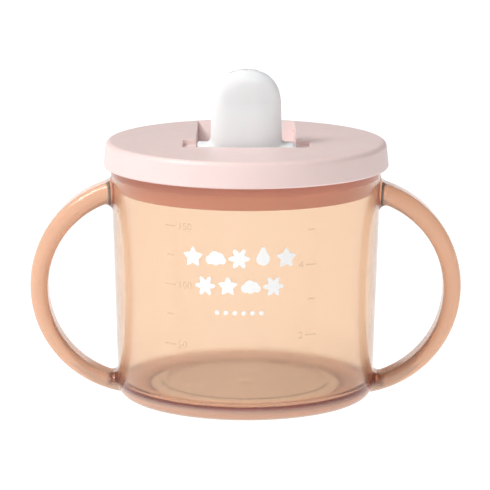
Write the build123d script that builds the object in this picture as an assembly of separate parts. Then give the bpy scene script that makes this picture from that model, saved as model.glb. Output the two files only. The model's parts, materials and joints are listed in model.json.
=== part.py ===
"""Two-handled sippy cup with a push-on lid and a spout that folds back into the lid.

Millimetres, +Z up. The origin is the centre of the cup's base, the handles lie along X, and the
drinker's side is -Y. The spout stands upright at rest and folds back towards +Y.
"""
import os
from math import sqrt

from build123d import *

# Cup
CUP_HEIGHT = 64.2          # base to rim
BASE_RADIUS = 33.0         # outside of the wall, carried down to the base
MOUTH_RADIUS = 34.9        # outside of the wall at the rim
WALL = 1.6
FLOOR = 2.5                # thickness of the floor
FOOT_RECESS = 0.8          # how far the floor's underside stands above the foot
FOOT_WIDTH = 5.0           # radial width of the flat foot ring
FOOT_EDGE = 2.6            # rounding between foot and wall
INSIDE_EDGE = 2.2          # rounding between floor and wall
RIM_EDGE = 0.6

# Handles: round loops, one on each side
HANDLE_REACH = 21.8        # wall to the outside of the loop
HANDLE_BAND = 4.5          # thickness of the loop in its own plane
HANDLE_DEPTH = 9.5         # width of the loop across its plane
HANDLE_EDGE = 2.1          # rounding of the loop's edges
HANDLE_TOP_GAP = 3.9       # lid skirt to the loop
HANDLE_FOOT_GAP = 0.9      # base to the loop
HANDLE_ROOT = 2.2          # fillet between loop and wall

# Lid cap
LID_OVERLAP = 4.4          # how far the skirt reaches down over the rim
DECK = 2.0                 # thickness of the lid's top
SKIRT_WALL = 1.5
SKIRT_CLEARANCE = 0.3      # cup wall to skirt
SKIRT_DRAFT = 0.7          # the cap is this much smaller in radius at its top
LID_EDGE = 1.5             # rounding of the top edge
RIM_CLEARANCE = 0.2        # cup rim to the underside of the deck

# Plug ring that seals inside the mouth
PLUG_DEPTH = 10.5          # rim down to the ring's lower edge
SEAL_DEPTH = 7.3           # rim down to the step below the sealing band
PLUG_STEP = 0.5            # the lead-in below the step is this much smaller in radius
PLUG_WALL = 1.5
SEAL_CLEARANCE = 0.12      # sealing band to the cup's inside

# Spout: a tongue on a drum
SPOUT_LENGTH = 24.3        # hinge axis to the tip
SPOUT_WIDTH = 18.6         # at the drum
SPOUT_TIP_RADIUS = 8.85    # of the round end, seen from the front
SPOUT_DEPTH = 10.0         # front to back at the drum
SPOUT_TIP_DEPTH = 6.4      # front to back of the round end
DRUM_RADIUS = 5.6
DRUM_PROUD = 0.5           # the drum's top stands this far above the lid
DRUM_EDGE = 0.6
HINGE_Y = -6.4             # the hinge axis lies this far in front of the cup's axis
DRUM_GAP = 0.3             # drum to its saddle
DRUM_END_GAP = 0.4         # drum's end to the slot's side
PIN_RADIUS = 1.9
PIN_LENGTH = 2.2           # length of a pin inside its bearing
PIN_CLEARANCE = 0.06       # radial
PIN_END_GAP = 0.3
PIN_CHAMFER = 0.35

# Drink channel
CHANNEL_WIDTH = 11.0
CHANNEL_DEPTH = 3.4
SIP_HOLE_RADIUS = 0.7
SIP_HOLE_PITCH = 3.2
SIP_HOLES = 3
PORT_RADIUS = 1.2          # holes in the saddle that feed the channel
PORT_PITCH = 3.6
PORTS = 3

# Slot in the lid, and the well under it
SLOT_WIDTH = 25.6
REAR_MARGIN = 4.3          # slot's rear edge to the lid's edge
RAMP_BLEND = 6.0           # rounding between the well's floor and the finger ramp
WELL_WALL = 1.5
POCKET_REACH = 3.35        # how far a hinge pocket reaches out beside the slot
POCKET_DEPTH = 1.3
POCKET_CORNER = 1.4
BEARING_DROP = 3.4         # hinge axis to the underside of a bearing block

# Heights and radii that follow
rim_z = CUP_HEIGHT
skirt_z = rim_z - LID_OVERLAP
deck_z = rim_z + RIM_CLEARANCE
lid_z = deck_z + DECK
plug_z = rim_z - PLUG_DEPTH
seal_z = rim_z - SEAL_DEPTH
floor_z = FOOT_RECESS + FLOOR
skirt_inner = MOUTH_RADIUS + SKIRT_CLEARANCE
skirt_outer = skirt_inner + SKIRT_WALL
cap_radius = skirt_outer - SKIRT_DRAFT
bay = DRUM_RADIUS + DRUM_GAP
hinge_z = lid_z + DRUM_PROUD - DRUM_RADIUS
tip_z = hinge_z + SPOUT_LENGTH - SPOUT_TIP_RADIUS    # centre of the spout's round end
slot_front = HINGE_Y - bay
slot_rear = cap_radius - REAR_MARGIN
well_floor_z = hinge_z - bay
drum_width = SLOT_WIDTH - 2 * DRUM_END_GAP


def wall_radius(z):
    """Outside radius of the tapered wall at a height."""
    return BASE_RADIUS + (MOUTH_RADIUS - BASE_RADIUS) * z / CUP_HEIGHT


seal_radius = wall_radius(seal_z) - WALL - SEAL_CLEARANCE


def spin(points):
    """Solid of revolution about Z from the corners of its half section, given as (radius, z)."""
    with BuildPart() as part:
        with BuildSketch(Plane.XZ):
            with BuildLine():
                Polyline(*points, close=True)
            make_face()
        revolve(axis=Axis.Z)
    return part.part


def rings(solid, radius, z, reach=0.2):
    """The circular edges of a turned solid at one radius and height."""
    found = [e for e in solid.edges() if abs(e.center().Z - z) < reach and abs(e.radius - radius) < reach]
    return found


def cup_outline():
    """The cup filled solid: what its outside encloses."""
    solid = spin([(0, 0), (BASE_RADIUS, 0), (MOUTH_RADIUS, CUP_HEIGHT), (0, CUP_HEIGHT)])
    return fillet(rings(solid, BASE_RADIUS, 0), FOOT_EDGE)


def cup_body():
    """Tapered wall on a floor that stands up inside a flat foot ring."""
    recess_radius = BASE_RADIUS - FOOT_EDGE - FOOT_WIDTH
    inside_radius = wall_radius(floor_z) - WALL
    inside = spin([(0, floor_z), (inside_radius, floor_z), (MOUTH_RADIUS - WALL, CUP_HEIGHT), (0, CUP_HEIGHT)])
    inside = fillet(rings(inside, inside_radius, floor_z), INSIDE_EDGE)
    recess = Pos(0, 0, FOOT_RECESS / 2) * Cone(recess_radius, recess_radius - FOOT_RECESS, FOOT_RECESS)
    body = cup_outline() - inside - recess
    rim = rings(body, MOUTH_RADIUS, rim_z) + rings(body, MOUTH_RADIUS - WALL, rim_z)
    return fillet(rim, RIM_EDGE)


def handle(side):
    """Round loop whose two ends run into the wall; side is +1 for right and -1 for left."""
    top = skirt_z - HANDLE_TOP_GAP
    half_chord = (top - HANDLE_FOOT_GAP) / 2
    middle_z = (top + HANDLE_FOOT_GAP) / 2
    radius = (half_chord**2 + HANDLE_REACH**2) / (2 * HANDLE_REACH)
    middle_x = wall_radius(middle_z) + HANDLE_REACH - radius
    section = Pos(middle_x + radius - HANDLE_BAND / 2, 0, middle_z) * RectangleRounded(
        HANDLE_BAND, HANDLE_DEPTH, HANDLE_EDGE
    )
    loop = revolve(section, Axis((middle_x, 0, middle_z), (0, 1, 0)), 360)
    outline = cup_outline()
    joined = outline + loop
    seam = [edge for edge in new_edges(outline, loop, combined=joined) if edge.geom_type != GeomType.LINE]
    loop = fillet(seam, HANDLE_ROOT) - outline
    return loop if side > 0 else mirror(loop, Plane.YZ)


def slot_profile(offset, top):
    """Side outline of the slot: straight front, round saddle, flat floor and a 45 degree finger ramp.

    offset grows the outline outwards by a wall; top is the height where it is cut off.
    """
    front = slot_front - offset
    low = well_floor_z - offset
    slope_foot = slot_rear - (lid_z - well_floor_z)
    slide = offset * sqrt(2) - offset
    corner = (slope_foot + slide, low)
    rear = (corner[0] + top - low, top)
    with BuildSketch(Plane.YZ) as sketch:
        with BuildLine():
            Line((front, top), (front, hinge_z))
            RadiusArc((front, hinge_z), (HINGE_Y, low), -(bay + offset))
            FilletPolyline((HINGE_Y, low), corner, rear, radius=RAMP_BLEND + offset)
            Line(rear, (front, top))
        make_face()
    return sketch.sketch


def slot_space(top):
    """The space inside the slot and well, up to a height."""
    return extrude(slot_profile(0, top), SLOT_WIDTH / 2, both=True)


def hinge_pockets(top):
    """Shallow pockets beside the slot, over the hinge pins."""
    length = 2 * bay
    width = SLOT_WIDTH + 2 * POCKET_REACH
    plan = Pos(0, HINGE_Y) * RectangleRounded(width, length, POCKET_CORNER)
    return Pos(0, 0, lid_z - POCKET_DEPTH) * extrude(plan, top - lid_z + POCKET_DEPTH)


def lid_cap():
    """Round cap: flat deck, rounded edge, and a skirt that slips over the cup's rim."""
    over = lid_z + DECK
    cap = spin([
        (0, deck_z), (skirt_inner, deck_z), (skirt_inner, skirt_z), (skirt_outer, skirt_z),
        (cap_radius, lid_z), (0, lid_z),
    ])
    cap = fillet(rings(cap, cap_radius, lid_z), LID_EDGE)
    return cap - slot_space(over) - hinge_pockets(over)


def well_block(top):
    """The well filled solid: what its outside encloses, with the bearing blocks for the pins."""
    trough = extrude(slot_profile(WELL_WALL, top), SLOT_WIDTH / 2 + WELL_WALL, both=True)
    height = top - hinge_z + BEARING_DROP
    bearings = Pos(0, HINGE_Y, top - height / 2) * Box(SLOT_WIDTH + 2 * POCKET_REACH, 2 * bay, height)
    return trough + bearings


def plug_ring():
    """Ring that hangs from the deck and seals in the mouth; the well passes through its top at the rear."""
    inner = seal_radius - PLUG_WALL
    lead = seal_radius - PLUG_STEP
    ring = spin([
        (inner, plug_z), (lead, plug_z), (lead, seal_z), (seal_radius, seal_z + PLUG_STEP),
        (seal_radius, deck_z), (inner, deck_z),
    ])
    return ring - well_block(deck_z)


def spout_well():
    """Trough under the slot: the drum's saddle, a floor for the folded spout and a finger ramp."""
    well = well_block(deck_z) & (Pos(0, 0, lid_z / 2) * Cylinder(seal_radius, lid_z))
    well -= slot_space(lid_z)
    bore_length = SLOT_WIDTH + 2 * (PIN_LENGTH + PIN_END_GAP)
    bore = Pos(0, HINGE_Y, hinge_z) * Rot(0, 90, 0) * Cylinder(PIN_RADIUS + PIN_CLEARANCE, bore_length)
    well -= bore
    for index in range(PORTS):
        x = (index - (PORTS - 1) / 2) * PORT_PITCH
        well -= Pos(x, HINGE_Y, well_floor_z) * Cylinder(PORT_RADIUS, 4 * WELL_WALL)
    return well


def round_end():
    """Disc about Y with a full-round edge; its upper half closes the spout."""
    half = SPOUT_TIP_DEPTH / 2
    edge = SPOUT_TIP_RADIUS - half
    with BuildPart() as part:
        with BuildSketch():
            with BuildLine():
                Line((0, -half), (edge, -half))
                ThreePointArc((edge, -half), (SPOUT_TIP_RADIUS, 0), (edge, half))
                Line((edge, half), (0, half))
                Line((0, half), (0, -half))
            make_face()
        revolve(axis=Axis.Y)
    return part.part


def tongue():
    """Spout without its drum: full-round sides that taper up into the round end."""
    base = Pos(0, 0, hinge_z) * SlotOverall(SPOUT_WIDTH, SPOUT_DEPTH)
    shoulder = Pos(0, 0, tip_z) * SlotOverall(2 * SPOUT_TIP_RADIUS, SPOUT_TIP_DEPTH)
    stem = loft([base, shoulder], ruled=True)
    return Pos(0, HINGE_Y, 0) * (stem + Pos(0, 0, tip_z) * round_end())


def drink_channel():
    """Flat channel from the drum's underside to a round end, with the sip holes above it."""
    length = tip_z - hinge_z + 2 * DRUM_RADIUS
    channel = Pos(0, 0, tip_z - length / 2) * Box(CHANNEL_WIDTH, CHANNEL_DEPTH, length)
    channel += Pos(0, 0, tip_z) * Rot(90, 0, 0) * Cylinder(CHANNEL_WIDTH / 2, CHANNEL_DEPTH)
    for index in range(SIP_HOLES):
        x = (index - (SIP_HOLES - 1) / 2) * SIP_HOLE_PITCH
        channel += Pos(x, 0, tip_z + SPOUT_TIP_RADIUS) * Cylinder(SIP_HOLE_RADIUS, SPOUT_TIP_RADIUS)
    return Pos(0, HINGE_Y, 0) * channel


def spout():
    """Tongue and drum in one, hollowed by the drink channel."""
    drum = Pos(0, HINGE_Y, hinge_z) * Rot(0, 90, 0) * Cylinder(DRUM_RADIUS, drum_width)
    drum = fillet(drum.edges().filter_by(GeomType.CIRCLE), DRUM_EDGE)
    return tongue() + drum - drink_channel()


def hinge_pin(side):
    """Stub on the drum's end that turns in the well's bearing."""
    length = DRUM_END_GAP + PIN_LENGTH
    pin = Rot(0, 90, 0) * Cylinder(PIN_RADIUS, length)
    pin = chamfer(pin.faces().sort_by(Axis.X)[-1].edges(), PIN_CHAMFER)
    pin = Pos(drum_width / 2 + length / 2, HINGE_Y, hinge_z) * pin
    return pin if side > 0 else mirror(pin, Plane.YZ)


nodes = {
    "cup_body": cup_body(),
    "left_handle": handle(-1),
    "right_handle": handle(1),
    "lid_cap": lid_cap(),
    "plug_ring": plug_ring(),
    "spout_well": spout_well(),
    "spout": spout(),
    "left_hinge_pin": hinge_pin(-1),
    "right_hinge_pin": hinge_pin(1),
}

os.makedirs("parts", exist_ok=True)
for name, solid in nodes.items():
    export_step(solid, f"parts/{name}.step")
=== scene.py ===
"""Two-handled sippy cup with a push-on lid and a fold-back spout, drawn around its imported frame.

Metres, +Z up. The handles lie along X, and the drinker's side is -Y.
"""
import json

import bmesh
import bpy
import numpy as np
from bpy.props import FloatProperty, FloatVectorProperty, PointerProperty
from mathutils import Matrix, Quaternion, Vector


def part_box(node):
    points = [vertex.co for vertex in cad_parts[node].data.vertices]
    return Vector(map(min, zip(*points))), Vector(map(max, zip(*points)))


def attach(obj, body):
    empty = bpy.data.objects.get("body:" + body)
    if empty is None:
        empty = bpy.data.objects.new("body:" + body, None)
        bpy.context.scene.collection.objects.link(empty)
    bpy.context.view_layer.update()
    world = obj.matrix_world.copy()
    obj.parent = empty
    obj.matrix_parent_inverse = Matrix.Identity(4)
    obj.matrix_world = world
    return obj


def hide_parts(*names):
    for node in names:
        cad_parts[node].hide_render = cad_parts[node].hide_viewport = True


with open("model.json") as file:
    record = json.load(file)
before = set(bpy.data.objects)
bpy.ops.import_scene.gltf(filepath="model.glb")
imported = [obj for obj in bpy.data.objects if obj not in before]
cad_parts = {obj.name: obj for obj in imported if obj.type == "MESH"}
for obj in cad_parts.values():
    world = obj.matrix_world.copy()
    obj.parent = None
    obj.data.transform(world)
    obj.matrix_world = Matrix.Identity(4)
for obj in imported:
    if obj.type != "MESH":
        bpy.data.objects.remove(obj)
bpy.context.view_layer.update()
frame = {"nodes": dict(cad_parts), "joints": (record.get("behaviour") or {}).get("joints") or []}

bl_info = {
    "name": "Sippy Cup Maker",
    "version": (1, 0, 0),
    "blender": (4, 5, 0),
    "location": "View3D > Sidebar > Sippy Cup",
    "description": "Builds a two-handled sippy cup with a lid and a fold-back spout",
    "category": "Add Mesh",
}

MM = 0.001
SEGMENTS = 192             # steps round a turned piece
ARC_STEPS = 8              # steps round a rounded corner

# Places given by the frame
joints = {joint["name"]: joint for joint in frame["joints"]}
HINGE = Vector(joints["spout_fold"]["pos_m"])
RIM_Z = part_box("cup_body")[1].z
SKIRT_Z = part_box("lid_cap")[0].z
LID_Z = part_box("lid_cap")[1].z
SKIRT_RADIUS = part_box("lid_cap")[1].x
PLUG_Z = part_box("plug_ring")[0].z
DECK_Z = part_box("plug_ring")[1].z
SEAL_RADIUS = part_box("plug_ring")[1].x
DRUM_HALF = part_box("spout")[1].x
DRUM_RADIUS = HINGE.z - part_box("spout")[0].z
SPOUT_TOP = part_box("spout")[1].z
HANDLE_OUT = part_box("right_handle")[1].x
BEARING_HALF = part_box("spout_well")[1].x

# Shapes under the deck that both the plug and the spout's well follow
LID_WALL = 1.5 * MM                     # thickness of the plug ring and the well
INSIDE_DECK_Z = DECK_Z + 0.5 * MM       # where the plug and the well end within the deck
BAY_RADIUS = DRUM_RADIUS + 0.3 * MM     # round space that the drum turns in


def size(name, description, default):
    """A length that the panel shows."""
    return FloatProperty(
        name=name, description=description, default=default, min=0.0, precision=5,
        unit="LENGTH", subtype="DISTANCE",
    )


def colour(name, description, default):
    """A colour that the panel shows."""
    return FloatVectorProperty(
        name=name, description=description, default=default, min=0.0, max=1.0,
        size=3, subtype="COLOR",
    )


class SippyCupSizes(bpy.types.PropertyGroup):
    """Sizes of the moulded walls, edges and details."""

    base_radius: size("Base radius", "Outside of the wall carried down to the base", 33.0 * MM)
    mouth_radius: size("Mouth radius", "Outside of the wall at the rim", 34.9 * MM)
    wall: size("Wall", "Thickness of the cup's wall", 1.6 * MM)
    floor: size("Floor", "Thickness of the cup's floor", 2.5 * MM)
    foot_recess: size("Foot recess", "Height of the floor's underside above the foot", 0.8 * MM)
    foot_width: size("Foot width", "Radial width of the flat foot", 5.0 * MM)
    foot_edge: size("Foot edge", "Rounding between foot and wall", 2.6 * MM)
    handle_band: size("Handle band", "Thickness of a handle in its own plane", 4.5 * MM)
    handle_swing: size(
        "Handle swing", "How much thicker a handle is at its top than halfway", 0.7 * MM)
    handle_depth: size("Handle depth", "Width of a handle across its plane", 9.5 * MM)
    handle_edge: size("Handle edge", "Rounding of a handle's edges", 2.1 * MM)
    handle_top: size(
        "Handle top", "Height where a handle's outside would leave the wall", 56.0 * MM)
    handle_foot: size(
        "Handle foot", "Height where a handle's outside would meet the wall", 0.85 * MM)
    handle_root: size("Handle root", "Fillet between a handle and the wall", 2.2 * MM)
    skirt_wall: size("Skirt wall", "Thickness of the lid's skirt", 1.5 * MM)
    skirt_draft: size("Skirt draft", "How much smaller in radius the lid is at its top", 0.7 * MM)
    lid_edge: size("Lid edge", "Rounding of the lid's top edge", 1.5 * MM)
    slot_edge: size("Slot edge", "Rounding of the slot's upper edges", 0.35 * MM)
    slot_half: size("Slot half width", "Middle of the slot to its side", 12.8 * MM)
    spout_width: size("Spout width", "Width of the spout at the drum", 18.6 * MM)
    spout_depth: size("Spout depth", "Front to back of the spout at the drum", 10.0 * MM)
    tip_radius: size("Tip radius", "Radius of the spout's round end", 8.85 * MM)
    tip_depth: size("Tip depth", "Front to back of the spout's round end", 6.4 * MM)
    sip_hole: size("Sip hole", "Radius of a sip hole", 0.7 * MM)


class SippyCupColours(bpy.types.PropertyGroup):
    """Colours of the mouldings and the print."""

    lid: colour("Lid", "Soft pink of the lid", (0.84, 0.66, 0.635))
    # Painted shade: coral that stands in for the plug's band seen shaded and tinted through the
    # cup's wall
    seal_shade: colour("Seal", "Lid's colour where it is pressed against the wall", (1.0, 0.36, 0.26))
    spout: colour("Spout", "White of the spout", (0.84, 0.84, 0.84))
    print: colour("Print", "White of the print", (0.92, 0.92, 0.91))
    tint: colour("Cup tint", "What the cup's plastic lets through", (0.92, 0.42, 0.06))
    floor: colour("Floor", "Pale floor", (0.15, 0.15, 0.15))


class SippyCupSettings(bpy.types.PropertyGroup):
    """Everything that the panel shows."""

    sizes: PointerProperty(type=SippyCupSizes)
    colours: PointerProperty(type=SippyCupColours)


# Shapes

def mesh_object(name, points, faces):
    """Object at the origin with these points and faces, its faces turned outwards."""
    mesh = bpy.data.meshes.new(name)
    mesh.from_pydata(points.reshape(-1, 3).tolist(), [], faces)
    work = bmesh.new()
    work.from_mesh(mesh)
    bmesh.ops.recalc_face_normals(work, faces=work.faces)
    work.to_mesh(mesh)
    work.free()
    piece = bpy.data.objects.new(name, mesh)
    bpy.context.scene.collection.objects.link(piece)
    return piece


def grid_quads(rows, columns, ring=False):
    """Faces of a grid whose columns close on themselves, and whose rows do too if it is a ring."""
    row = np.arange(rows if ring else rows - 1)[:, None]
    column = np.arange(columns)[None, :]
    above = (row + 1) % rows
    beside = (column + 1) % columns
    corners = [
        row * columns + column, row * columns + beside,
        above * columns + beside, above * columns + column,
    ]
    return np.stack(corners, -1).reshape(-1, 4).tolist()


def closed_tube(name, grid):
    """Closed surface from a (rows, columns, 3) grid that runs round, with a face over each end."""
    rows, columns, _ = grid.shape
    faces = grid_quads(rows, columns)
    faces.append(list(range(columns)))
    faces.append(list(range((rows - 1) * columns, rows * columns)))
    return mesh_object(name, grid, faces)


def lathe(name, profile, ring=False, segments=SEGMENTS):
    """Profile (r, z) turned about Z: the point at turn t is (r cos t, r sin t, z)."""
    turn = np.linspace(0, 2 * np.pi, segments, endpoint=False)
    radius, height = profile.T[:, :, None]
    grid = np.stack([radius * np.cos(turn), radius * np.sin(turn), height + 0 * turn], -1)
    if ring:
        return mesh_object(name, grid, grid_quads(*grid.shape[:2], ring=True))
    return closed_tube(name, grid)


def prism(name, outline, normal, low, high):
    """Outline (a, b) carried from low to high along axis 0, 1 or 2.

    a and b run along the next two axes.
    """
    grid = np.empty((2, len(outline), 3))
    grid[..., normal] = np.array([[low], [high]])
    grid[..., (normal + 1) % 3] = outline[:, 0]
    grid[..., (normal + 2) % 3] = outline[:, 1]
    return closed_tube(name, grid)


def rounded(corners, radii, steps=ARC_STEPS):
    """Line through corners, each replaced by an arc that touches both its sides.

    An arc's centre is on the corner's bisector, r / sin(half the angle) from the corner, and its
    points turn evenly from one touching point to the other.
    """
    corners = np.asarray(corners, float)
    pieces = []
    for index, radius in enumerate(radii):
        corner = corners[index]
        if not radius:
            pieces.append(corner[None])
            continue
        before = corners[index - 1] - corner
        after = corners[(index + 1) % len(corners)] - corner
        before /= np.linalg.norm(before)
        after /= np.linalg.norm(after)
        half = np.arccos(before @ after) / 2
        bisector = (before + after) / np.linalg.norm(before + after)
        centre = corner + bisector * radius / np.sin(half)
        start = corner + before * radius / np.tan(half) - centre
        end = corner + after * radius / np.tan(half) - centre
        sweep = np.pi - 2 * half
        share = np.linspace(0, 1, steps + 1)[:, None]
        arc = (np.sin((1 - share) * sweep) * start + np.sin(share * sweep) * end) / np.sin(sweep)
        pieces.append(centre + arc)
    return np.concatenate(pieces)


def divided(line, longest):
    """The same line with its long stretches divided evenly, none longer than the given length."""
    pieces = []
    for start, end in zip(line[:-1], line[1:]):
        count = max(1, int(np.ceil(np.linalg.norm(end - start) / longest)))
        pieces.append(start + (end - start) * np.arange(count)[:, None] / count)
    return np.concatenate([*pieces, line[-1:]])


def joined(name, parts):
    """One object from parts that are each (points, faces)."""
    points, faces = [], []
    count = 0
    for part_points, part_faces in parts:
        points.append(part_points)
        faces += [[corner + count for corner in face] for face in part_faces]
        count += len(part_points)
    return mesh_object(name, np.concatenate(points), faces)


def fix_mesh(piece):
    """Applies the piece's modifiers to its mesh."""
    bpy.context.view_layer.update()
    shown = piece.evaluated_get(bpy.context.evaluated_depsgraph_get())
    mesh = bpy.data.meshes.new_from_object(shown)
    old = piece.data
    piece.modifiers.clear()
    piece.data = mesh
    bpy.data.meshes.remove(old)
    mesh.name = piece.name


def combine(piece, tool, operation):
    """Joins, cuts or intersects the piece with a tool, and removes the tool."""
    modifier = piece.modifiers.new("combine", "BOOLEAN")
    modifier.operation = operation
    modifier.solver = "EXACT"
    modifier.object = tool
    fix_mesh(piece)
    if not piece.data.polygons:
        raise RuntimeError(f"{piece.name} is empty after {tool.name}")
    bpy.data.objects.remove(tool)


def smooth(piece, angle):
    """Shades the piece smooth, with creases where faces turn more than the angle in degrees."""
    mesh = piece.data
    work = bmesh.new()
    work.from_mesh(mesh)
    bmesh.ops.remove_doubles(work, verts=work.verts, dist=0.002 * MM)
    work.to_mesh(mesh)
    work.free()
    mesh.shade_smooth()
    mesh.set_sharp_from_angle(angle=np.radians(angle))
    weighted = piece.modifiers.new("normals", "WEIGHTED_NORMAL")
    weighted.keep_sharp = True


# Materials

class Finish:
    """A material with one Principled shader, whose patterns lie on Object coordinates."""

    def __init__(self, name, base, roughness, **values):
        self.material = bpy.data.materials.new(name)
        self.material.use_nodes = True
        self.tree = self.material.node_tree
        self.shader = self.tree.nodes["Principled BSDF"]
        self.output = self.tree.nodes["Material Output"]
        self.place = self.tree.nodes.new("ShaderNodeTexCoord")
        self.shader.inputs["Base Color"].default_value = (*base, 1)
        self.shader.inputs["Roughness"].default_value = roughness
        for socket, value in values.items():
            self.shader.inputs[socket.replace("_", " ")].default_value = value

    def noise(self, scale, detail=2.0, stretch=(1, 1, 1)):
        """Noise with so many cells to the metre, stretched by its own scale along each axis."""
        mapping = self.tree.nodes.new("ShaderNodeMapping")
        mapping.inputs["Scale"].default_value = stretch
        texture = self.tree.nodes.new("ShaderNodeTexNoise")
        texture.inputs["Scale"].default_value = scale
        texture.inputs["Detail"].default_value = detail
        self.tree.links.new(self.place.outputs["Object"], mapping.inputs["Vector"])
        self.tree.links.new(mapping.outputs["Vector"], texture.inputs["Vector"])
        return texture.outputs["Fac"]

    def ranged(self, source, start, end, low=0.0, high=1.0):
        """Goes from low to high while the source goes from start to end."""
        node = self.tree.nodes.new("ShaderNodeMapRange")
        node.inputs["From Min"].default_value = start
        node.inputs["From Max"].default_value = end
        node.inputs["To Min"].default_value = low
        node.inputs["To Max"].default_value = high
        self.tree.links.new(source, node.inputs["Value"])
        return node.outputs["Result"]

    def spread(self, source, low, high):
        """Brings a pattern's middle range to values from low to high."""
        return self.ranged(source, 0.3, 0.7, low, high)

    def mix(self, factor, first, second):
        """Mix of two colours, each a plain one or another node's."""
        node = self.tree.nodes.new("ShaderNodeMix")
        node.data_type = "RGBA"
        self.tree.links.new(factor, node.inputs["Factor"])
        for socket, value in (("A", first), ("B", second)):
            if isinstance(value, bpy.types.NodeSocket):
                self.tree.links.new(value, node.inputs[socket])
            else:
                node.inputs[socket].default_value = (*value, 1)
        return node.outputs["Result"]

    def paint(self, source):
        """Takes the base colour from a node."""
        self.tree.links.new(source, self.shader.inputs["Base Color"])

    def tone(self, source, first, second):
        """Base colour that goes from first to second with the pattern."""
        self.paint(self.mix(self.spread(source, 0, 1), first, second))

    def above(self, low, high):
        """Goes from 0 at one height to 1 at another."""
        split = self.tree.nodes.new("ShaderNodeSeparateXYZ")
        self.tree.links.new(self.place.outputs["Object"], split.inputs["Vector"])
        return self.ranged(split.outputs["Z"], low, high)

    def beyond(self, near, far):
        """Goes from 0 at one distance from the Z axis to 1 at another."""
        flat = self.tree.nodes.new("ShaderNodeVectorMath")
        flat.operation = "MULTIPLY"
        flat.inputs[1].default_value = (1, 1, 0)
        length = self.tree.nodes.new("ShaderNodeVectorMath")
        length.operation = "LENGTH"
        self.tree.links.new(self.place.outputs["Object"], flat.inputs[0])
        self.tree.links.new(flat.outputs["Vector"], length.inputs[0])
        return self.ranged(length.outputs["Value"], near, far)

    def near(self, reach):
        """Ambient occlusion, used for painted shade: goes from 0 in the open to 1 where something
        stands close in front, within reach.
        """
        shade = self.tree.nodes.new("ShaderNodeAmbientOcclusion")
        shade.samples = 8
        shade.inputs["Distance"].default_value = reach
        return self.ranged(shade.outputs["AO"], 0.75, 0.35)

    def haze(self, source, low, high):
        """Lets through from low to high of the light with the pattern."""
        passed = self.ranged(source, 0, 1, low, high)
        self.tree.links.new(passed, self.shader.inputs["Transmission Weight"])

    def paired(self, operation, first, second):
        """One number from two, by a Math node."""
        node = self.tree.nodes.new("ShaderNodeMath")
        node.operation = operation
        self.tree.links.new(first, node.inputs[0])
        self.tree.links.new(second, node.inputs[1])
        return node.outputs["Value"]

    def both(self, first, second):
        """Product of two masks."""
        return self.paired("MULTIPLY", first, second)

    def either(self, first, second):
        """The larger of two masks."""
        return self.paired("MAXIMUM", first, second)

    def gloss(self, source, low, high):
        """Roughness that goes from low to high with the pattern."""
        self.tree.links.new(self.spread(source, low, high), self.shader.inputs["Roughness"])

    def bumps(self, *layers):
        """Relief from layers of (pattern, height in metres), one on another."""
        normal = None
        for source, height in layers:
            node = self.tree.nodes.new("ShaderNodeBump")
            node.inputs["Distance"].default_value = height
            self.tree.links.new(source, node.inputs["Height"])
            if normal:
                self.tree.links.new(normal, node.inputs["Normal"])
            normal = node.outputs["Normal"]
        self.tree.links.new(normal, self.shader.inputs["Normal"])

    def absorb(self, tint, density):
        """What the plastic's body takes from light that goes through it, per metre."""
        node = self.tree.nodes.new("ShaderNodeVolumeAbsorption")
        node.inputs["Color"].default_value = (*tint, 1)
        node.inputs["Density"].default_value = density
        self.tree.links.new(node.outputs["Volume"], self.output.inputs["Volume"])


def scaled(colour, factor):
    """The colour made lighter or darker."""
    return [min(1.0, part * factor) for part in colour]


# Where masks go from 0 to 1: distances from the Z axis for OUT, and heights for UP
HANDLES_OUT = (35.0 * MM, 36.5 * MM)
FOOT_OUT = (24 * MM, 27 * MM)
FOOT_UP = (3.6 * MM, 2.2 * MM)
BAND_INSIDE_OUT = (31.7 * MM, 32.0 * MM)
BAND_OUTSIDE_OUT = (34.4 * MM, 33.9 * MM)
BAND_UP = (DECK_Z, DECK_Z - 0.3 * MM)
# Heights over which the band's painted shade deepens towards the skirt, a painted shadow under it
BAND_SHADOW_UP = (RIM_Z - 7.0 * MM, SKIRT_Z)
# Reach of the ambient occlusion that paints shade on the band where the clear wall stands over it
BAND_SHADE_REACH = 4 * MM      # how far from the band the wall still counts as pressed to it
TINT_DENSITY = 110         # per metre


def clear_plastic(name, tint):
    """Tinted translucent polypropylene: faint flow streaks, a fine orange-peel skin, scuffs.

    The body takes up light, so a long way through it looks deeper. The thick handles and foot
    scatter more of the light than the walls do.
    """
    finish = Finish(
        name, (0.96, 0.90, 0.82), 0.12,
        IOR=1.45, Transmission_Weight=0.96, Specular_IOR_Level=0.3,
    )
    streaks = finish.noise(90, 3, (1, 1, 0.15))
    body = finish.mix(finish.spread(streaks, 0, 1), (0.99, 0.905, 0.8), (0.98, 0.895, 0.78))
    foot = finish.both(finish.beyond(*FOOT_OUT), finish.above(*FOOT_UP))
    thick = finish.either(finish.beyond(*HANDLES_OUT), foot)
    finish.paint(finish.mix(thick, body, (0.96, 0.68, 0.49)))
    finish.haze(thick, 0.95, 0.5)
    finish.gloss(finish.noise(220, 5), 0.08, 0.15)
    finish.bumps((finish.noise(260, 1), 0.005 * MM), (finish.noise(2400, 2), 0.0003 * MM))
    finish.absorb(tint, TINT_DENSITY)
    return finish.material


# The third colour is painted shade for the plug's band, not a colour of the lid's plastic
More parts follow.
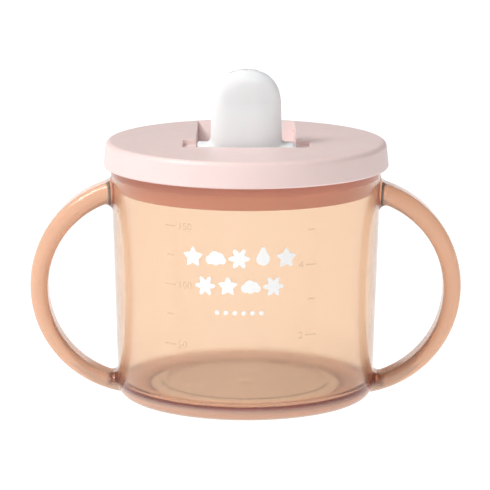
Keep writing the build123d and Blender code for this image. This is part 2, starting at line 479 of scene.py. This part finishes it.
def satin_plastic(name, base, pressed):
    """Opaque satin plastic: soft mottling, fine spark texture, slight softness to light.

    The plug's band is painted a deeper colour where ambient occlusion finds the clear wall over it.
    This is painted shade, standing in for the band seen shaded and tinted through the wall. It is
    strongest just under the skirt, a painted shadow of the skirt, and pales a little towards the
    band's foot.
    """
    finish = Finish(
        name, base, 0.42,
        Subsurface_Weight=0.12, Subsurface_Scale=1.2 * MM, Specular_IOR_Level=0.45,
    )
    mottle = finish.spread(finish.noise(120, 4), 0, 1)
    body = finish.mix(mottle, scaled(base, 0.985), scaled(base, 1.015))
    ring = finish.both(finish.beyond(*BAND_INSIDE_OUT), finish.beyond(*BAND_OUTSIDE_OUT))
    band = finish.both(ring, finish.above(*BAND_UP))
    # Painted shadow of the skirt: the band is darkest just under it and paler towards the band's
    # foot
    deep = finish.mix(finish.above(*BAND_SHADOW_UP), scaled(pressed, 1.3), pressed)
    # Painted shade on the band where ambient occlusion finds the wall over it
    finish.paint(finish.mix(finish.both(band, finish.near(BAND_SHADE_REACH)), body, deep))
    finish.gloss(finish.noise(500, 3), 0.36, 0.46)
    finish.bumps((finish.noise(180, 1), 0.006 * MM), (finish.noise(3200, 2), 0.003 * MM))
    return finish.material


def gloss_plastic(name, base):
    """Opaque glossy plastic: faint mottling and a smooth skin with slight ripples."""
    finish = Finish(
        name, base, 0.3, Subsurface_Weight=0.7, Subsurface_Scale=3.5 * MM,
        Subsurface_Radius=(1, 0.85, 0.8), Specular_IOR_Level=0.5,
    )
    finish.tone(finish.noise(140, 4), scaled(base, 0.997), scaled(base, 1.003))
    finish.gloss(finish.noise(400, 3), 0.33, 0.36)
    finish.bumps((finish.noise(150, 1), 0.001 * MM), (finish.noise(2600, 2), 0.0006 * MM))
    return finish.material


def ink(name, base):
    """Screen-printed ink: a matt film with fine grain."""
    finish = Finish(name, base, 0.5)
    finish.tone(finish.noise(1500, 4), scaled(base, 0.97), scaled(base, 1.02))
    finish.gloss(finish.noise(900, 3), 0.42, 0.58)
    finish.bumps((finish.noise(4500, 3), 0.004 * MM),)
    return finish.material


def frosted_marks(name, base):
    """Frosted raised marks that only just stand out from the clear wall."""
    finish = Finish(name, base, 0.6, Alpha=0.16)
    finish.tone(finish.noise(1200, 3), scaled(base, 0.95), scaled(base, 1.05))
    finish.gloss(finish.noise(1500, 2), 0.5, 0.7)
    finish.bumps((finish.noise(5000, 2), 0.003 * MM),)
    return finish.material


def pale_floor(name, base):
    """Plain pale studio floor with a barely seen grain."""
    finish = Finish(name, base, 0.8, Emission_Strength=1.0)
    finish.shader.inputs["Emission Color"].default_value = (1, 1, 1, 1)
    finish.tone(finish.noise(40, 2), scaled(base, 0.995), base)
    return finish.material


def dress(piece, material):
    """Gives the piece one material."""
    piece.data.materials.clear()
    piece.data.materials.append(material)


# Cup

def wall_radius(sizes, height):
    """Outside radius of the tapered wall, less what the rounded foot takes off near the base."""
    straight = sizes.base_radius + (sizes.mouth_radius - sizes.base_radius) * height / RIM_Z
    below = np.clip(sizes.foot_edge - height, 0, sizes.foot_edge)
    return straight - sizes.foot_edge + np.sqrt(sizes.foot_edge**2 - below**2)


def cup_profile(sizes):
    """Half section of the cup: gate mark, foot, outside, rim, inside and a ring on the floor."""
    recess = sizes.base_radius - sizes.foot_edge - sizes.foot_width
    floor_z = sizes.foot_recess + sizes.floor
    inside = wall_radius(sizes, floor_z) - sizes.wall
    gate_z = sizes.foot_recess - 0.25 * MM
    ring_z = floor_z + 0.12 * MM
    corners = [
        (1.1 * MM, gate_z), (1.6 * MM, sizes.foot_recess),
        (recess - sizes.foot_recess, sizes.foot_recess), (recess, 0), (sizes.base_radius, 0),
        (sizes.mouth_radius, RIM_Z), (sizes.mouth_radius - sizes.wall, RIM_Z), (inside, floor_z),
        (21.8 * MM, floor_z), (21.6 * MM, ring_z), (20.4 * MM, ring_z), (20.2 * MM, floor_z),
        (2 * MM, floor_z),
    ]
    radii = [0, 0.2, 0.5, 0.3, 2.6, 0.6, 0.6, 2.2, 0.1, 0.1, 0.1, 0.1, 0]
    return divided(rounded(corners, np.array(radii) * MM), 1.6 * MM)


def handle_grid(sizes):
    """Right handle: a rounded rectangle carried round a circle in the XZ plane.

    A section point is c + (e + f) n, where c is an edge's centre, e its rounding and n its
    direction. The flare f is r (1 - cos a) at r (1 - sin a) from the wall, a quarter circle that
    meets the wall at a slant of 10 degrees. The swing moves the section's inner side in by
    swing * sin t at turn t, so that a handle is thickest at its top. The last rows lie in the
    wall, at the depth where each section point's own circle crosses it.
    """
    half_chord = (sizes.handle_top - sizes.handle_foot) / 2
    middle_z = (sizes.handle_top + sizes.handle_foot) / 2
    reach = HANDLE_OUT - wall_radius(sizes, middle_z)
    outer = (half_chord**2 + reach**2) / (2 * reach)
    middle_x = HANDLE_OUT - outer
    middle = outer - sizes.handle_band / 2
    edge, root = sizes.handle_edge, sizes.handle_root

    quarter = np.linspace(0, 90, ARC_STEPS + 1)
    angle = np.radians(quarter + 90 * np.arange(4)[:, None]).ravel()
    sign_across = np.repeat([1, -1, -1, 1], ARC_STEPS + 1)
    sign_along = np.repeat([1, 1, -1, -1], ARC_STEPS + 1)
    centre_across = sign_across * (sizes.handle_band / 2 - edge)
    centre_along = sign_along * (sizes.handle_depth / 2 - edge)
    across, along = np.cos(angle), np.sin(angle)
    swing = sizes.handle_swing * (1 - across) / 2

    slant = np.radians(np.linspace(80, 0, 11))
    near = root * (1 - np.sin(slant))
    flare = root * (1 - np.cos(slant))
    deep = np.array([-0.8, -0.4]) * MM
    distance = np.concatenate([deep, near])
    growth = np.concatenate([np.full(2, flare[0]), flare])

    def flared(end):
        """Share of the flare that each section point takes; the foot's outside takes none."""
        return np.clip(1 - across, 0, 1) if end < 0 else np.ones_like(across)

    def crossing(end):
        """Turn, above or below the middle, where each fully flared point meets the wall."""
        taken = edge + flare[0] * flared(end)
        ring = middle + centre_across + taken * across
        depth = centre_along + taken * along
        low, high = np.full_like(ring, np.radians(30)), np.full_like(ring, np.radians(89))
        for _ in range(40):
            guess = (low + high) / 2
            bent = ring - swing * np.sin(end * guess)
            x = middle_x + bent * np.cos(guess)
            z = middle_z + end * bent * np.sin(guess)
            outside = np.hypot(x, depth) > wall_radius(sizes, np.maximum(z, 0))
            low = np.where(outside, guess, low)
            high = np.where(outside, high, guess)
        return end * low

    foot, top = crossing(-1), crossing(1)
    length = middle * (top - foot).mean()
    steps = np.linspace(0, 1, 60)[1:-1]
    inner_share = near[-1] / length
    share = np.concatenate([
        distance / length,
        inner_share + (1 - 2 * inner_share) * steps,
        1 - distance[::-1] / length,
    ])[:, None]
    swell = np.concatenate([growth, 0 * steps, growth[::-1]])[:, None]
    taken = edge + swell * np.where(share < 0.5, flared(-1), flared(1))
    turn = foot + (top - foot) * share
    ring = middle + centre_across + taken * across - swing * np.sin(turn)
    depth = centre_along + taken * along + 0 * turn
    return np.stack([middle_x + ring * np.cos(turn), depth, middle_z + ring * np.sin(turn)], -1)


def make_cup(sizes):
    """Cup and both handles as one closed moulding."""
    cup = lathe("cup_moulding", cup_profile(sizes))
    grid = handle_grid(sizes)
    for side in (-1, 1):
        combine(cup, closed_tube("loop", grid * (side, 1, 1)), "UNION")
    smooth(cup, 38)
    return cup


# Print and marks on the wall

PRINT_MIDDLE = -1.6 * MM       # measured round the wall
INK_FRONT = 0.07 * MM          # heights off the wall
INK_BACK = 0.015 * MM
MARKS_BACK = 0.02 * MM
MARKS_RELIEF = 0.12 * MM
MARKS_COLOUR = (0.62, 0.42, 0.28)
MAIN_TICK = 1.5 * MM           # half lengths
SMALL_TICK = 0.9 * MM
TICK_HALF = 0.18 * MM          # half thickness
TICK_OUT = 1.6 * MM            # from a column's middle to its ticks, and to its numbers
NUMBER_IN = 0.6 * MM
NUMBER_SIZE = 2.6 * MM


def on_wall(sizes, across, height, lift):
    """Points on the wall's front: across is measured round the wall, and lift stands off it."""
    surface = wall_radius(sizes, height)
    turn = across / surface
    return np.stack([(surface + lift) * np.sin(turn), -(surface + lift) * np.cos(turn), height], -1)


def star(turn):
    """Five points: r = 1 / (1 + 0.85 w), where w goes from 0 at a point to 1 in a valley."""
    wave = np.abs((turn - np.pi / 2) * 5 / (2 * np.pi) % 1 - 0.5) * 2
    return 1 / (1 + 0.85 * (1 - wave))


def flower(turn):
    """Six petals: r = 0.78 + 0.22 cos 6t."""
    return 0.78 + 0.22 * np.cos(6 * turn)


def blob(turn, centres, radii):
    """Outside of overlapping circles seen from the middle.

    It is the farthest of c.d + sqrt(r^2 - (c x d)^2), for each circle's centre c and radius r.
    """
    x, y = np.array(centres).T[:, :, None]
    along = x * np.cos(turn) + y * np.sin(turn)
    aside = x * np.sin(turn) - y * np.cos(turn)
    inside = np.array(radii)[:, None] ** 2 - aside**2
    return np.where(inside > 0, along + np.sqrt(np.maximum(inside, 0)), 0).max(0)


def cloud(turn):
    """Five overlapping puffs."""
    centres = [(-0.5, -0.15), (-0.1, 0.15), (0.35, 0.05), (0.6, -0.2), (0, -0.25)]
    return blob(turn, centres, [0.42, 0.5, 0.45, 0.35, 0.4])


def drop(turn):
    """A ball with a point above it: r = 0.62 (1 + 0.75 w^14), where w is 1 at the top."""
    return 0.62 * (1 + 0.75 * np.clip(np.sin(turn), 0, 1) ** 14)


def dot(turn):
    """A plain round dot."""
    return 0.6 + 0 * turn


def icon_faces(sizes, shape, across, height, radius, rings=5, steps=80):
    """Film of ink: a shape's outline r(t) filled by rings, front and back, closed at its edge."""
    turn = np.linspace(0, 2 * np.pi, steps, endpoint=False)
    share = np.linspace(1 / rings, 1, rings)[:, None]
    reach = radius * share * shape(turn)
    x = across + reach * np.cos(turn)
    z = height + reach * np.sin(turn)
    front = on_wall(sizes, x, z, INK_FRONT)
    back = on_wall(sizes, x[::-1], z[::-1], INK_BACK)
    grid = np.concatenate([front, back])
    faces = grid_quads(2 * rings, steps)
    faces.append(list(range(steps)))
    faces.append(list(range((2 * rings - 1) * steps, 2 * rings * steps)))
    return grid.reshape(-1, 3), faces


def make_print(sizes):
    """Two rows of small nursery icons over a row of dots, all one film of ink."""
    rows = [    # height, radius, pitch, shapes
        (42.0 * MM, 2.75 * MM, 5.9 * MM, [star, cloud, flower, drop, star]),
        (34.9 * MM, 2.6 * MM, 5.7 * MM, [flower, star, cloud, flower]),
        (28.2 * MM, 0.95 * MM, 2.2 * MM, [dot] * 6),
    ]
    icons = []
    for height, radius, pitch, shapes in rows:
        for index, shape in enumerate(shapes):
            across = PRINT_MIDDLE + (index - (len(shapes) - 1) / 2) * pitch
            icons.append(icon_faces(sizes, shape, across, height, radius))
    piece = joined("front_print", icons)
    smooth(piece, 40)
    return piece


def volume_height(sizes, volume):
    """Height of the liquid that holds a volume in millilitres, from the inside's truncated cone.

    The volume between the floor and z is pi / 3 h (a^2 + a b + b^2); bisection gives z.
    """
    floor_z = sizes.foot_recess + sizes.floor
    bottom = wall_radius(sizes, floor_z) - sizes.wall
    low, high = floor_z, RIM_Z
    for _ in range(40):
        guess = (low + high) / 2
        top = wall_radius(sizes, guess) - sizes.wall
        held = np.pi / 3 * (guess - floor_z) * (bottom**2 + bottom * top + top**2) * 1e6
        low, high = (guess, high) if held < volume else (low, guess)
    return low


def number_points(text, text_size):
    """A number's flat faces, as points (x, y) about its left end at mid height, and faces."""
    curve = bpy.data.curves.new("number", "FONT")
    curve.body = text
    curve.size = text_size
    curve.resolution_u = 3
    curve.align_y = "CENTER"
    letters = bpy.data.objects.new("number", curve)
    bpy.context.scene.collection.objects.link(letters)
    bpy.context.view_layer.update()
    shown = letters.evaluated_get(bpy.context.evaluated_depsgraph_get())
    mesh = bpy.data.meshes.new_from_object(shown)
    flat = np.empty(3 * len(mesh.vertices))
    mesh.vertices.foreach_get("co", flat)
    faces = [list(face.vertices) for face in mesh.polygons]
    bpy.data.objects.remove(letters)
    bpy.data.meshes.remove(mesh)
    return flat.reshape(-1, 3)[:, :2], faces


def make_marks(sizes):
    """Measuring marks: a tick at each step and a number at each main step, raised a little.

    The left column counts millilitres, and the right one fluid ounces.
    """
    columns = [    # across, side of the ticks, millilitres and number of each step
        (-18.2 * MM, -1, [(50, "50"), (75, ""), (100, "100"), (125, ""), (150, "150")]),
        (15.3 * MM, 1, [(59, "2"), (89, ""), (118, "4"), (148, "")]),
    ]
    marks = []
    for across, side, steps in columns:
        for volume, text in steps:
            height = volume_height(sizes, volume)
            half = MAIN_TICK if text else SMALL_TICK
            middle = across + side * TICK_OUT
            bar_x = np.linspace(middle - half, middle + half, 7)
            bar = np.stack(np.meshgrid(bar_x, [-TICK_HALF, TICK_HALF]), -1).reshape(-1, 2)
            flats = [(bar, [[i, i + 1, i + 8, i + 7] for i in range(6)])]
            if text:
                letters, letter_faces = number_points(text, NUMBER_SIZE)
                shift = across - side * NUMBER_IN + (0 if side < 0 else -letters[:, 0].max())
                flats.append((letters + (shift, 0), letter_faces))
            for flat, flat_faces in flats:
                points = on_wall(sizes, flat[:, 0], height + flat[:, 1], MARKS_BACK)
                marks.append((points, flat_faces))
    piece = joined("measuring_marks", marks)
    thick = piece.modifiers.new("relief", "SOLIDIFY")
    thick.thickness = MARKS_RELIEF
    thick.offset = 1
    fix_mesh(piece)
    smooth(piece, 30)
    return piece


# Lid

PLUG_STEP_Z = RIM_Z - 7.3 * MM      # where the plug's band begins above its lead-in
PLUG_PRESS = 0.01 * MM              # how far the band is pressed into the cup's wall
BEARING_Z = HINGE.z - 3.4 * MM      # underside of the hinge's bearings
POCKET_DEPTH = 1.3 * MM             # of the two hollows in the deck over the bearings
RAMP_MARGIN = 4.3 * MM              # deck left between the finger ramp and the lid's edge
RAMP_EDGE = 6 * MM                  # rounding between the slot's floor and its ramp
BORE_RADIUS = 1.96 * MM             # holes that the hinge pins turn in
BORE_HALF = 15.3 * MM
PORT_RADIUS = 1.2 * MM              # holes that let the drink into the drum
PORT_PITCH = 3.6 * MM


def lid_profile(sizes):
    """Half section of the cap: under the deck, inside the skirt, round its foot, up and over."""
    inner = SKIRT_RADIUS - sizes.skirt_wall
    top = SKIRT_RADIUS - sizes.skirt_draft
    corners = [
        (30 * MM, DECK_Z), (inner, DECK_Z), (inner, SKIRT_Z), (SKIRT_RADIUS, SKIRT_Z),
        (top, LID_Z), (20 * MM, LID_Z),
    ]
    radii = [0, 0.3, 0.35, 0.5, sizes.lid_edge / MM, 0]
    return rounded(corners, np.array(radii) * MM)


def plug_profile(sizes):
    """Closed section of the ring that seals in the mouth, with its step and lead-in."""
    inner = SEAL_RADIUS - LID_WALL
    lead = SEAL_RADIUS - 0.5 * MM
    low = PLUG_STEP_Z + 0.5 * MM
    band_low = wall_radius(sizes, low) - sizes.wall + PLUG_PRESS
    band_top = wall_radius(sizes, RIM_Z) - sizes.wall + PLUG_PRESS
    corners = [
        (inner, PLUG_Z), (lead, PLUG_Z), (lead, PLUG_STEP_Z), (band_low, low),
        (band_top, INSIDE_DECK_Z), (inner, INSIDE_DECK_Z),
    ]
    radii = np.array([0.4, 0.5, 0.2, 0.3, 0, 0]) * MM
    return rounded(corners, radii)


def slot_outline(sizes, offset, top):
    """Side outline (y, z) of the slot: straight front, round saddle, flat floor, 45 degree ramp."""
    saddle_radius = BAY_RADIUS + offset
    front = HINGE.y - BAY_RADIUS - offset
    low = HINGE.z - BAY_RADIUS - offset
    rear = SKIRT_RADIUS - sizes.skirt_draft - RAMP_MARGIN
    foot = rear - (LID_Z - low - offset) + offset * (np.sqrt(2) - 1)
    arc = np.radians(np.linspace(180, 270, 17))
    saddle = saddle_radius * np.stack([np.cos(arc), np.sin(arc)], -1) + (HINGE.y, HINGE.z)
    turns = [saddle[-1], (foot, low), (foot + top - low, top)]
    ramp = rounded(turns, [0, RAMP_EDGE + offset, 0], 12)
    return np.concatenate([[(front, top)], saddle, ramp[1:]])


def circle(radius, steps=48):
    """Points of a circle about the origin."""
    turn = np.linspace(0, 2 * np.pi, steps, endpoint=False)
    return radius * np.stack([np.cos(turn), np.sin(turn)], -1)


def rectangle(half_x, half_y, corner):
    """Rounded rectangle about the origin."""
    corners = [(-half_x, -half_y), (half_x, -half_y), (half_x, half_y), (-half_x, half_y)]
    return rounded(corners, [corner] * 4)


def make_lid(sizes):
    """Cap, plug ring and spout well as one closed moulding."""
    over = LID_Z + 2 * MM
    lid = lathe("lid_moulding", lid_profile(sizes))
    plug = lathe("plug", plug_profile(sizes), ring=True)
    well_half = sizes.slot_half + LID_WALL
    well = prism("well", slot_outline(sizes, LID_WALL, INSIDE_DECK_Z), 0, -well_half, well_half)
    block = rectangle(BEARING_HALF, BAY_RADIUS, 0.6 * MM) + (0, HINGE.y)
    combine(well, prism("bearings", block, 2, BEARING_Z, INSIDE_DECK_Z), "UNION")
    limit = prism("limit", circle(SEAL_RADIUS, SEGMENTS), 2, 0, over)
    combine(well, limit, "INTERSECT")
    combine(lid, plug, "UNION")
    combine(lid, well, "UNION")
    slot = prism("slot", slot_outline(sizes, 0, over), 0, -sizes.slot_half, sizes.slot_half)
    hollow = rectangle(BEARING_HALF, BAY_RADIUS, 1.4 * MM) + (0, HINGE.y)
    combine(slot, prism("pockets", hollow, 2, LID_Z - POCKET_DEPTH, over), "UNION")
    combine(lid, slot, "DIFFERENCE")
    bore = prism("bore", circle(BORE_RADIUS) + (HINGE.y, HINGE.z), 0, -BORE_HALF, BORE_HALF)
    combine(lid, bore, "DIFFERENCE")
    under = HINGE.z - BAY_RADIUS - 3 * MM
    for index in (-1, 0, 1):
        outline = circle(PORT_RADIUS, 32) + (index * PORT_PITCH, HINGE.y)
        combine(lid, prism("port", outline, 2, under, HINGE.z), "DIFFERENCE")
    round_slot(lid, sizes.slot_edge)
    smooth(lid, 38)
    return lid


def round_slot(lid, width):
    """Rounds the edges where the slot and its pockets break the lid's flat top."""
    work = bmesh.new()
    work.from_mesh(lid.data)
    weights = work.edges.layers.float.new("bevel_weight_edge")
    for edge in work.edges:
        level = min(vertex.co.z for vertex in edge.verts) > LID_Z - 0.01 * MM
        if level and len(edge.link_faces) == 2 and edge.calc_face_angle() > np.radians(30):
            edge[weights] = 1
    work.to_mesh(lid.data)
    work.free()
    bevel = lid.modifiers.new("slot edge", "BEVEL")
    bevel.limit_method = "WEIGHT"
    bevel.width = width
    bevel.segments = 4
    fix_mesh(lid)


# Spout

CHANNEL_HALF = 5.5 * MM         # from the drink channel's middle to its side
CHANNEL_DEPTH = 1.7 * MM        # and to its front
SIP_PITCH = 3.2 * MM
SIP_FLARE = 0.3 * MM            # rounding at the mouth of a sip hole


def tongue_grid(sizes):
    """The spout's tongue: rounded sections that narrow upwards and close in a full-round end.

    A section point at turn t is (a c^(2/p), b s^(2/p)), a superellipse of power p. Above the
    shoulder, at a share h of the end's height, a shrinks as (1 - h^n)^(1/n), and b as a round
    edge. Just over the drum a grows by a small fillet.
    """
    tip = sizes.tip_radius
    half_tip = sizes.tip_depth / 2
    shoulder = SPOUT_TOP - tip
    stem = np.linspace(0, 1, 50)[:, None]
    lift = np.radians(np.linspace(0, 89.5, 40))[1:, None]
    share = np.concatenate([0 * stem, np.sin(lift)])
    height = np.concatenate([HINGE.z + (shoulder - HINGE.z) * stem, shoulder + tip * np.sin(lift)])
    up = np.concatenate([stem, 1 + 0 * lift])
    power = 2.15
    a = (sizes.spout_width / 2 * (1 - up) + tip * up) * (1 - share**power) ** (1 / power)
    over = np.maximum(0, tip * share - (tip - half_tip))
    b = (sizes.spout_depth / 2 * (1 - up) + half_tip * up) * np.sqrt(1 - (over / half_tip) ** 2)
    section = 2.8 - 0.65 * share
    turn = np.linspace(0, 2 * np.pi, 112, endpoint=False)
    cosine, sine = np.cos(turn), np.sin(turn)
    x = a * np.sign(cosine) * np.abs(cosine) ** (2 / section)
    y = b * np.sign(sine) * np.abs(sine) ** (2 / section)
    fillet = 1.0 * MM
    gap = np.hypot(y, height - HINGE.z) - DRUM_RADIUS
    near = np.clip(fillet - gap, 0, 0.985 * fillet)
    x = x + np.cos(turn) * (fillet - np.sqrt(fillet**2 - near**2))
    return np.stack([x, y + HINGE.y, height + 0 * turn], -1)


def make_spout(sizes):
    """Tongue and drum in one moulding, with its drink channel and sip holes."""
    spout = closed_tube("spout_moulding", tongue_grid(sizes))
    edge = 0.6 * MM
    corners = [
        (1 * MM, -DRUM_HALF), (DRUM_RADIUS, -DRUM_HALF),
        (DRUM_RADIUS, DRUM_HALF), (1 * MM, DRUM_HALF),
    ]
    drum = lathe("drum", rounded(corners, [0, edge, edge, 0]), segments=96)
    flat = np.empty(3 * len(drum.data.vertices))
    drum.data.vertices.foreach_get("co", flat)
    turned = flat.reshape(-1, 3)[:, [2, 0, 1]] + (0, HINGE.y, HINGE.z)
    drum.data.vertices.foreach_set("co", turned.ravel())
    combine(spout, drum, "UNION")
    shoulder = SPOUT_TOP - sizes.tip_radius
    low = HINGE.z - 2 * DRUM_RADIUS
    arc = np.radians(np.linspace(0, 180, 33))
    crown = np.stack([shoulder + CHANNEL_HALF * np.sin(arc), CHANNEL_HALF * np.cos(arc)], -1)
    outline = np.concatenate([[(low, CHANNEL_HALF)], crown, [(low, -CHANNEL_HALF)]])
    channel = prism("channel", outline, 1, HINGE.y - CHANNEL_DEPTH, HINGE.y + CHANNEL_DEPTH)
    combine(spout, channel, "DIFFERENCE")
    depth = np.linspace(-1, 0.3, 14)[:, None] * MM
    near = np.clip(SIP_FLARE - np.maximum(depth, 0), 0, 0.98 * SIP_FLARE)
    radius = sizes.sip_hole + SIP_FLARE - np.sqrt(SIP_FLARE**2 - near**2)
    for index in (-1, 0, 1):
        x = index * SIP_PITCH
        top = shoulder + np.sqrt(sizes.tip_radius**2 - x**2)
        mouth = np.concatenate([radius, top - depth], 1)
        profile = np.concatenate([mouth, [(sizes.sip_hole, shoulder + 3 * MM)]])
        hole = lathe("hole", profile, segments=32)
        hole.data.transform(Matrix.Translation((x, HINGE.y, 0)))
        combine(spout, hole, "DIFFERENCE")
    smooth(spout, 38)
    return spout


# Stage

CAMERA_AIM = Vector((-0.2 * MM, 0, 38.8 * MM))
CAMERA_DISTANCE = 0.75
CAMERA_ELEVATION = np.radians(11.1)
CAMERA_ROLL = np.radians(0.2)
CAMERA_LENS = 213.0

# Floor: where it curves up, how high it goes, and how round the curve is
BACKDROP_RADIUS = 4.0
BACKDROP_TOP = 0.6
BACKDROP_BEND = 0.45
GROUND_Z = -0.05 * MM

WORLD_STRENGTH = 0.16
LIGHT_AIM = (0, 0, 0.04)
LIGHTS = (    # name, place, width, power
    ("key", (-0.66, -0.3, 0.9), 0.4, 8.4),
    ("fill", (0.0, -0.9, 0.5), 0.5, 2.0),
    ("top", (-0.2, 0.15, 0.95), 0.5, 2.2),
)


def make_camera():
    """Long-lens camera a little above the cup, square to its front."""
    camera = bpy.data.objects.new("camera", bpy.data.cameras.new("camera"))
    bpy.context.scene.collection.objects.link(camera)
    back = Vector((0, -np.cos(CAMERA_ELEVATION), np.sin(CAMERA_ELEVATION)))
    camera.location = CAMERA_AIM + back * CAMERA_DISTANCE
    camera.rotation_mode = "QUATERNION"
    facing = (-back).to_track_quat("-Z", "Y")
    camera.rotation_quaternion = facing @ Quaternion((0, 0, 1), CAMERA_ROLL)
    camera.data.lens = CAMERA_LENS
    camera.data.sensor_width = 36
    camera.data.clip_start = 0.05
    camera.data.clip_end = 50
    bpy.context.scene.camera = camera


def soft_light(name, place, target, width, power):
    """Square soft box that faces its target."""
    lamp = bpy.data.lights.new(name, "AREA")
    lamp.size = width
    lamp.energy = power
    light = bpy.data.objects.new(name, lamp)
    bpy.context.scene.collection.objects.link(light)
    light.location = place
    light.rotation_mode = "QUATERNION"
    light.rotation_quaternion = (Vector(target) - Vector(place)).to_track_quat("-Z", "Y")


def make_stage(colours):
    """Floor that curves up into a low backdrop all round, soft light and camera."""
    outside = BACKDROP_RADIUS + 0.05
    corners = [
        (outside, -0.02), (outside, BACKDROP_TOP), (BACKDROP_RADIUS, BACKDROP_TOP),
        (BACKDROP_RADIUS, GROUND_Z), (3.0, GROUND_Z),
    ]
    floor = lathe("floor", rounded(corners, [0, 0, 0, BACKDROP_BEND, 0]))
    dress(floor, pale_floor("pale_floor", colours.floor))
    scene = bpy.context.scene
    world = bpy.data.worlds.new("studio")
    world.use_nodes = True
    background = world.node_tree.nodes["Background"]
    background.inputs["Color"].default_value = (1, 1, 1, 1)
    background.inputs["Strength"].default_value = WORLD_STRENGTH
    scene.world = world
    scene.view_settings.view_transform = "Standard"
    for name, place, width, power in LIGHTS:
        soft_light(name, place, LIGHT_AIM, width, power)
    make_camera()


# Operators

class Maker:
    """What the makers share: the panel's settings and a plain result."""

    def execute(self, context):
        self.make(context.scene.sippy_cup.sizes, context.scene.sippy_cup.colours)
        return {"FINISHED"}


class SIPPY_OT_cup(Maker, bpy.types.Operator):
    """Makes the cup with its two handles"""

    bl_idname = "sippy.cup"
    bl_label = "Cup and handles"

    def make(self, sizes, colours):
        piece = make_cup(sizes)
        dress(piece, clear_plastic("cup_tint", colours.tint))
        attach(piece, "cup")
        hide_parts("cup_body", "left_handle", "right_handle")


class SIPPY_OT_print(Maker, bpy.types.Operator):
    """Makes the white print on the cup's front"""

    bl_idname = "sippy.print"
    bl_label = "Front print"

    def make(self, sizes, colours):
        piece = make_print(sizes)
        dress(piece, ink("white_ink", colours.print))
        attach(piece, "cup")


class SIPPY_OT_marks(Maker, bpy.types.Operator):
    """Makes the measuring marks on the cup's wall"""

    bl_idname = "sippy.marks"
    bl_label = "Measuring marks"

    def make(self, sizes, colours):
        piece = make_marks(sizes)
        dress(piece, frosted_marks("frosted_marks", MARKS_COLOUR))
        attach(piece, "cup")


class SIPPY_OT_lid(Maker, bpy.types.Operator):
    """Makes the lid with its plug ring and spout well"""

    bl_idname = "sippy.lid"
    bl_label = "Lid"

    def make(self, sizes, colours):
        piece = make_lid(sizes)
        dress(piece, satin_plastic("lid_pink", colours.lid, colours.seal_shade))
        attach(piece, "lid")
        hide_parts("lid_cap", "plug_ring", "spout_well")


class SIPPY_OT_spout(Maker, bpy.types.Operator):
    """Makes the fold-back spout and finishes its hinge pins"""

    bl_idname = "sippy.spout"
    bl_label = "Spout and pins"

    def make(self, sizes, colours):
        piece = make_spout(sizes)
        white = gloss_plastic("spout_white", colours.spout)
        dress(piece, white)
        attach(piece, "spout")
        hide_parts("spout")
        for side in ("left", "right"):
            dress(frame["nodes"][f"{side}_hinge_pin"], white)


class SIPPY_OT_stage(Maker, bpy.types.Operator):
    """Makes the floor, the light and the camera"""

    bl_idname = "sippy.stage"
    bl_label = "Floor, light and camera"

    def make(self, sizes, colours):
        make_stage(colours)


MAKERS = (
    SIPPY_OT_cup, SIPPY_OT_print, SIPPY_OT_marks, SIPPY_OT_lid, SIPPY_OT_spout, SIPPY_OT_stage,
)


class SIPPY_PT_panel(bpy.types.Panel):
    """Lists the settings and the makers"""

    bl_label = "Sippy Cup"
    bl_idname = "SIPPY_PT_panel"
    bl_space_type = "VIEW_3D"
    bl_region_type = "UI"
    bl_category = "Sippy Cup"

    def draw(self, context):
        settings = context.scene.sippy_cup
        for group in (settings.sizes, settings.colours):
            box = self.layout.box()
            for name in group.__annotations__:
                box.prop(group, name)
        for maker in MAKERS:
            self.layout.operator(maker.bl_idname)


CLASSES = (SippyCupSizes, SippyCupColours, SippyCupSettings, *MAKERS, SIPPY_PT_panel)


def register():
    for item in CLASSES:
        bpy.utils.register_class(item)
    bpy.types.Scene.sippy_cup = PointerProperty(type=SippyCupSettings)


def unregister():
    del bpy.types.Scene.sippy_cup
    for item in reversed(CLASSES):
        bpy.utils.unregister_class(item)


def main():
    """Registers the add-on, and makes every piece."""
    register()
    bpy.ops.sippy.cup()
    bpy.ops.sippy.print()
    bpy.ops.sippy.marks()
    bpy.ops.sippy.lid()
    bpy.ops.sippy.spout()
    bpy.ops.sippy.stage()


if __name__ == "__main__":
    main()
